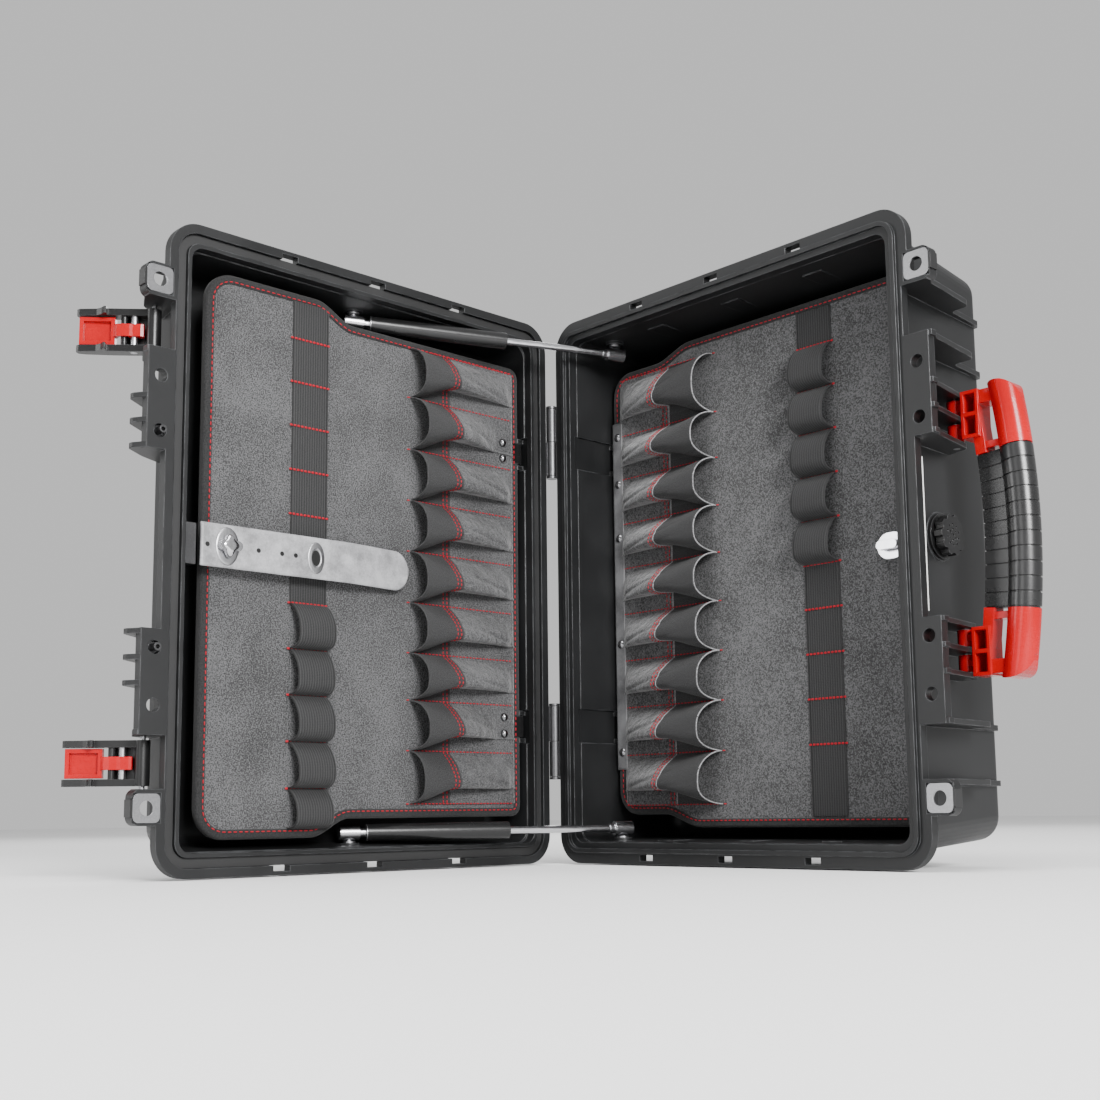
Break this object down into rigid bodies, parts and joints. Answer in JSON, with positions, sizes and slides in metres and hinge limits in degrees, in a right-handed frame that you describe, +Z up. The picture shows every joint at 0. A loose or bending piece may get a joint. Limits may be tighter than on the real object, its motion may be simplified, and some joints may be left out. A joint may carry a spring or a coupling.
{
  "type": "hard tool case",
  "caption": "Hard tool case with a hinged lid on gas struts, draw latches, a folding handle and two swinging panels of pockets and elastic loops.",
  "frame": {"origin": "centre of the case's footprint on the surface it stands on, on its short end with the lid open", "axes": "+Z up along the lid hinge, +X towards the base's front and handle, -Y out of the base's opening"},
  "size_m": [0.4946, 0.5424, 0.474],
  "materials": {
    "shell": "fine textured moulded polypropylene",
    "seal": "matt seal rubber",
    "red_plastic": "glossy red moulded plastic",
    "black_plastic": "satin black moulded plastic",
    "grip_rubber": "glossy ribbed rubber",
    "dark_steel": "dark coated steel",
    "steel": "brushed stainless steel",
    "chrome_steel": "polished plating",
    "strut_black": "gloss black paint",
    "felt": "speckled grey felt with a stitched black edge",
    "pocket_fabric": "ribbed black elastic and grey vinyl",
    "elastic": "ribbed black elastic webbing",
    "strap_vinyl": "smooth grey strap",
    "label": "plain white label"
  },
  "bodies": {
    "base": {"base_shell": "shell", "base_hinge_upper": "dark_steel", "base_hinge_lower": "dark_steel", "hinge_pin_upper": "dark_steel", "hinge_pin_lower": "dark_steel", "base_eyelet_upper": "steel", "base_eyelet_lower": "steel", "handle_pin_upper": "steel", "handle_pin_lower": "steel", "valve_body": "black_plastic", "blank_label": "label", "base_stud_upper": "steel", "base_stud_lower": "steel", "base_panel_pins": "dark_steel"},
    "lid": {"lid_shell": "shell", "lid_gasket": "seal", "lid_hinge_upper": "dark_steel", "lid_hinge_lower": "dark_steel", "lid_eyelet_upper": "steel", "lid_eyelet_lower": "steel", "latch_pin_upper": "steel", "latch_pin_lower": "steel", "locating_pins": "dark_steel", "lid_stud_upper": "steel", "lid_stud_lower": "steel", "lid_panel_pins": "dark_steel", "strap_bracket": "dark_steel"},
    "handle": {"handle_end_upper": "red_plastic", "handle_end_lower": "red_plastic", "handle_grip": "grip_rubber"},
    "valve_knob": {"valve_knob": "black_plastic"},
    "lid_panel": {"lid_panel": "felt", "lid_pockets": "pocket_fabric", "lid_elastic": "elastic", "lid_panel_rivets": "chrome_steel", "lid_panel_clips": "black_plastic", "closing_strap": "strap_vinyl", "lid_turnlock_ring": "chrome_steel"},
    "lid_turnlock": {"lid_turnlock": "chrome_steel"},
    "base_panel": {"base_panel": "felt", "base_pockets": "pocket_fabric", "base_elastic": "elastic", "base_strip": "strap_vinyl", "base_strip_rivets": "dark_steel", "base_panel_clips": "black_plastic", "base_turnlock_ring": "chrome_steel"},
    "base_turnlock": {"base_turnlock": "chrome_steel"},
    "latch_upper": {"latch_arm_upper": "black_plastic", "trigger_pin_upper": "steel"},
    "trigger_upper": {"latch_trigger_upper": "red_plastic"},
    "cylinder_upper": {"strut_cylinder_upper": "strut_black"},
    "rod_upper": {"strut_rod_upper": "chrome_steel"},
    "latch_lower": {"latch_arm_lower": "black_plastic", "trigger_pin_lower": "steel"},
    "trigger_lower": {"latch_trigger_lower": "red_plastic"},
    "cylinder_lower": {"strut_cylinder_lower": "strut_black"},
    "rod_lower": {"strut_rod_lower": "chrome_steel"}
  },
  "joints": [
    {"name": "lid_hinge", "type": "hinge", "parent": "base", "child": "lid", "pos_m": [-0.1861, 0.14321, 0.237], "axis": [0, 0, 1], "range_deg": [0, 90]},
    {"name": "handle_fold", "type": "hinge", "parent": "base", "child": "handle", "pos_m": [0.1859, 0.20021, 0.237], "axis": [0, 0, 1], "range_deg": [0, 84]},
    {"name": "valve_turn", "type": "hinge", "parent": "base", "child": "valve_knob", "pos_m": [0.17889, 0.19121, 0.237], "axis": [1, 0, 0], "range_deg": [0, 270]},
    {"name": "lid_panel_swing", "type": "hinge", "parent": "lid", "child": "lid_panel", "pos_m": [-0.20161, 0.11561, 0.237], "axis": [0, 0, -1], "range_deg": [-45, 0]},
    {"name": "base_panel_swing", "type": "hinge", "parent": "base", "child": "base_panel", "pos_m": [-0.1579, 0.19571, 0.237], "axis": [0, 0, 1], "range_deg": [-45, 0]},
    {"name": "lid_turnlock_turn", "type": "hinge", "parent": "lid_panel", "child": "lid_turnlock", "pos_m": [-0.1861, -0.17979, 0.237], "axis": [1, 0, 0], "range_deg": [0, 90]},
    {"name": "base_turnlock_turn", "type": "hinge", "parent": "base_panel", "child": "base_turnlock", "pos_m": [0.1319, 0.19121, 0.237], "axis": [0, 1, 0], "range_deg": [0, 90]},
    {"name": "latch_upper_swing", "type": "hinge", "parent": "lid", "child": "latch_upper", "pos_m": [-0.2101, -0.22879, 0.3935], "axis": [0, 0, 1], "range_deg": [0, 128]},
    {"name": "trigger_upper_press", "type": "hinge", "parent": "latch_upper", "child": "trigger_upper", "pos_m": [-0.21951, -0.23921, 0.3935], "axis": [0, 0, 1], "range_deg": [0, 4]},
    {"name": "strut_upper_swing", "type": "hinge", "parent": "lid", "child": "cylinder_upper", "pos_m": [-0.2181, -0.04879, 0.445], "axis": [0, 0, 1], "range_deg": [-3.19, 0.5]},
    {"name": "strut_upper_slide", "type": "slide", "parent": "cylinder_upper", "child": "rod_upper", "axis": [0.3575, 0.9339, 0], "range_m": [-0.08548, 0]},
    {"name": "latch_lower_swing", "type": "hinge", "parent": "lid", "child": "latch_lower", "pos_m": [-0.2101, -0.22879, 0.0805], "axis": [0, 0, 1], "range_deg": [0, 128]},
    {"name": "trigger_lower_press", "type": "hinge", "parent": "latch_lower", "child": "trigger_lower", "pos_m": [-0.21951, -0.23921, 0.0805], "axis": [0, 0, 1], "range_deg": [0, 4]},
    {"name": "strut_lower_swing", "type": "hinge", "parent": "lid", "child": "cylinder_lower", "pos_m": [-0.2181, -0.04879, 0.029], "axis": [0, 0, 1], "range_deg": [-3.19, 0.5]},
    {"name": "strut_lower_slide", "type": "slide", "parent": "cylinder_lower", "child": "rod_lower", "axis": [0.3575, 0.9339, 0], "range_m": [-0.08548, 0]}
  ],
  "couplings": [
    {"joint": "strut_upper_swing", "follows": "lid_hinge", "ratio": -0.029851},
    {"joint": "strut_upper_slide", "follows": "lid_hinge", "m_per_rad": -0.05378},
    {"joint": "strut_lower_swing", "follows": "lid_hinge", "ratio": -0.029851},
    {"joint": "strut_lower_slide", "follows": "lid_hinge", "m_per_rad": -0.05378}
  ]
}
